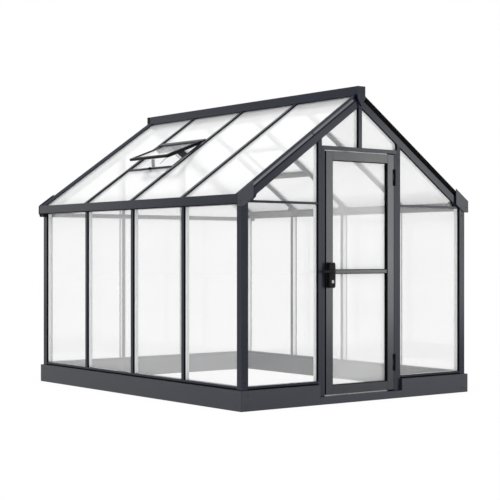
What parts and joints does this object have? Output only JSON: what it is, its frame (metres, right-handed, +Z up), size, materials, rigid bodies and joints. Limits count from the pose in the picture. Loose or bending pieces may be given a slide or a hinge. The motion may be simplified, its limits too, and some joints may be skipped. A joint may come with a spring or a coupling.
{
  "type": "greenhouse",
  "caption": "Gabled garden greenhouse with a dark coated metal frame, clear panels, a low base, eaves beams, a hinged door with a lever lock, and roof vents.",
  "frame": {"origin": "middle of the base frame's footprint, on the ground", "axes": "+Z up, +Y from the door end to the back, +X to the right when facing the door"},
  "size_m": [2.036, 2.577, 2.0741],
  "materials": {
    "frame_coat": "matte powder coat, dark grey",
    "clear_panel": "clear and glossy",
    "roof_panel": "milky and glossy",
    "black_hardware": "satin black",
    "key_steel": "satin"
  },
  "bodies": {
    "frame": {"base_sides": "frame_coat", "base_ends": "frame_coat", "threshold": "frame_coat", "sill_rails": "frame_coat", "corner_posts": "frame_coat", "left_studs": "frame_coat", "right_studs": "frame_coat", "back_studs": "frame_coat", "left_eaves_beam": "frame_coat", "right_eaves_beam": "frame_coat", "gutter_end_caps": "frame_coat", "front_rails": "frame_coat", "back_rails": "frame_coat", "jambs": "frame_coat", "door_frame_stiles": "frame_coat", "door_header": "frame_coat", "front_mullion": "frame_coat", "front_rafters": "frame_coat", "back_rafters": "frame_coat", "left_rafters": "frame_coat", "right_rafters": "frame_coat", "ridge_beam": "frame_coat", "ridge_caps": "frame_coat", "left_panels": "clear_panel", "right_panels": "clear_panel", "front_panels": "clear_panel", "gable_panels": "clear_panel", "back_panels": "clear_panel", "left_roof_panels": "roof_panel", "right_roof_panels": "roof_panel", "vent_bars": "frame_coat", "left_vent_frame": "frame_coat", "right_vent_frame": "frame_coat", "vent_panels": "roof_panel", "vent_stay": "frame_coat", "hinge_pins": "black_hardware"},
    "door": {"hinge_stile": "frame_coat", "latch_stile": "frame_coat", "door_rails": "frame_coat", "door_mid_bar": "frame_coat", "door_panels": "clear_panel", "lock_case": "black_hardware", "key_cylinder": "key_steel", "hinge_knuckles": "black_hardware"},
    "lever": {"lever": "black_hardware"}
  },
  "joints": [
    {"name": "door_swing", "type": "hinge", "parent": "frame", "child": "door", "pos_m": [0.304, -1.262, 0.8625], "axis": [0, 0, 1], "range_deg": [0, 110]},
    {"name": "lever_turn", "type": "hinge", "parent": "door", "child": "lever", "pos_m": [-0.272, -1.286, 0.857], "axis": [0, -1, 0], "range_deg": [0, 40], "stiffness_Nm_per_rad": 1, "springref_deg": -17.19}
  ]
}
